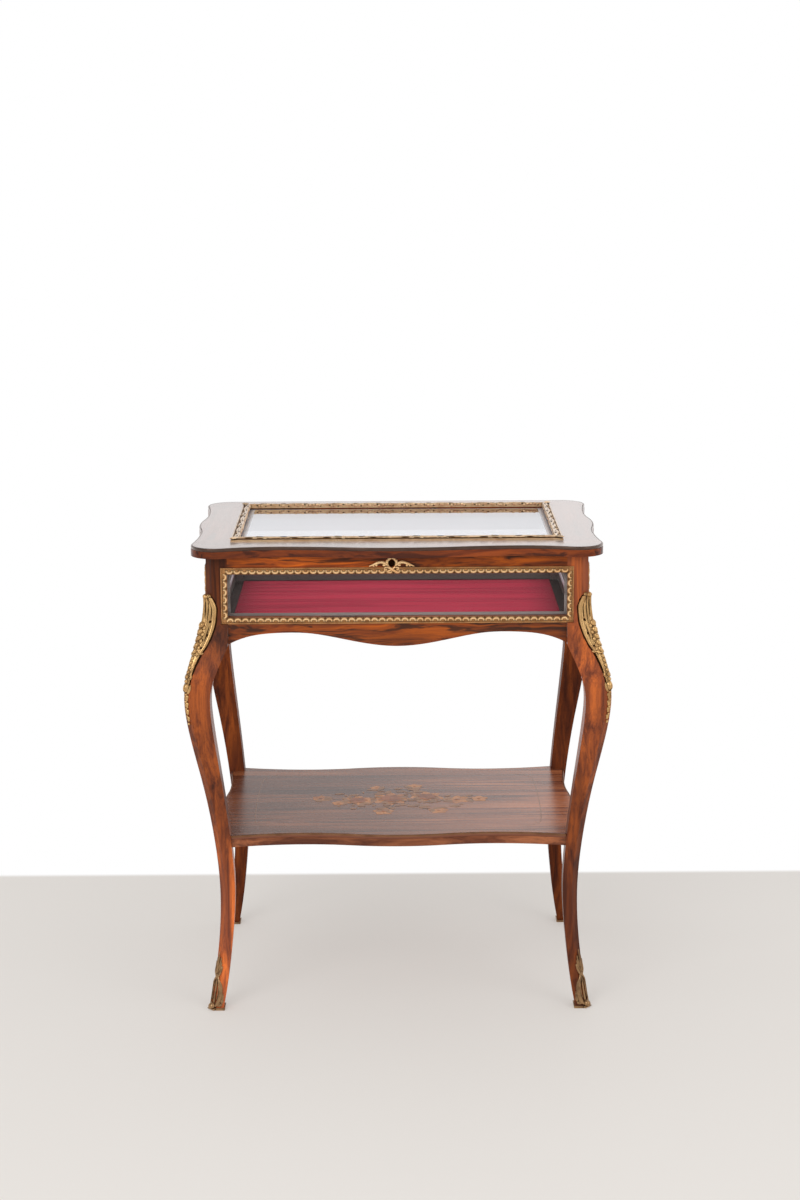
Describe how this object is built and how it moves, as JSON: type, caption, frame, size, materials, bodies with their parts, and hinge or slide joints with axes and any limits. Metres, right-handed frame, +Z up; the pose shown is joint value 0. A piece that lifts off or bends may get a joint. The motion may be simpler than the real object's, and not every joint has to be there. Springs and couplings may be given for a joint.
{
  "type": "display table",
  "caption": "Small display table with a hinged glazed lid, a glazed velvet-lined case, cabriole legs with gilt mounts and a wavy marquetry shelf.",
  "frame": {"origin": "centre of the footprint, on the floor", "axes": "+X to the right seen from the front, +Y to the rear, +Z up"},
  "size_m": [0.665, 0.483, 0.757],
  "materials": {
    "rosewood": "french polished",
    "marquetry_veneer": "french polished",
    "dark_wood": "stained satin",
    "pine": "raw",
    "gilt_brass": "antique gilt",
    "bronze": "patinated",
    "lock_brass": "satin",
    "lock_steel": "satin",
    "glass": "clear",
    "velvet": "velvet"
  },
  "bodies": {
    "case": {"leg_front_left": "rosewood", "sabot_front_left": "gilt_brass", "knee_mount_front_left": "gilt_brass", "leg_front_right": "rosewood", "sabot_front_right": "gilt_brass", "knee_mount_front_right": "gilt_brass", "leg_rear_left": "rosewood", "sabot_rear_left": "gilt_brass", "knee_mount_rear_left": "gilt_brass", "leg_rear_right": "rosewood", "sabot_rear_right": "gilt_brass", "knee_mount_rear_right": "gilt_brass", "top_rail_front": "rosewood", "apron_front": "rosewood", "pane_front": "glass", "glazing_beads_front": "dark_wood", "window_moulding_front": "gilt_brass", "top_rail_right": "rosewood", "apron_right": "rosewood", "pane_right": "glass", "glazing_beads_right": "dark_wood", "window_moulding_right": "gilt_brass", "top_rail_rear": "rosewood", "apron_rear": "rosewood", "pane_rear": "glass", "glazing_beads_rear": "dark_wood", "window_moulding_rear": "gilt_brass", "top_rail_left": "rosewood", "apron_left": "rosewood", "pane_left": "glass", "glazing_beads_left": "dark_wood", "window_moulding_left": "gilt_brass", "corner_blocks": "pine", "base_board": "dark_wood", "velvet_bed": "velvet", "mount_pins": "gilt_brass", "shelf_dowels": "pine", "shelf_panel": "rosewood", "shelf_veneer": "marquetry_veneer", "shelf_edge_band": "gilt_brass", "lock_body": "lock_brass", "escutcheon": "gilt_brass", "hinge_pins": "lock_steel", "case_screws": "lock_steel", "hinge_case_leaf_left": "lock_brass", "hinge_case_leaf_right": "lock_brass"},
    "lid": {"lid_edge_band": "bronze", "lid_stile_left": "rosewood", "lid_stile_right": "rosewood", "lid_front_rail": "rosewood", "lid_rear_rail": "rosewood", "lid_pane": "glass", "lid_moulding": "gilt_brass", "strike_plate": "lock_brass", "lid_screws": "lock_steel", "hinge_lid_leaf_left": "lock_brass", "hinge_lid_leaf_right": "lock_brass"},
    "lock_bolt": {"lock_bolt": "lock_steel"}
  },
  "joints": [
    {"name": "lid_hinge", "type": "hinge", "parent": "case", "child": "lid", "pos_m": [0, 0.207, 0.7338], "axis": [-1, 0, 0], "range_deg": [0, 100]},
    {"name": "bolt_slide", "type": "slide", "parent": "case", "child": "lock_bolt", "axis": [0, 0, 1], "range_m": [0, 0.005]}
  ]
}
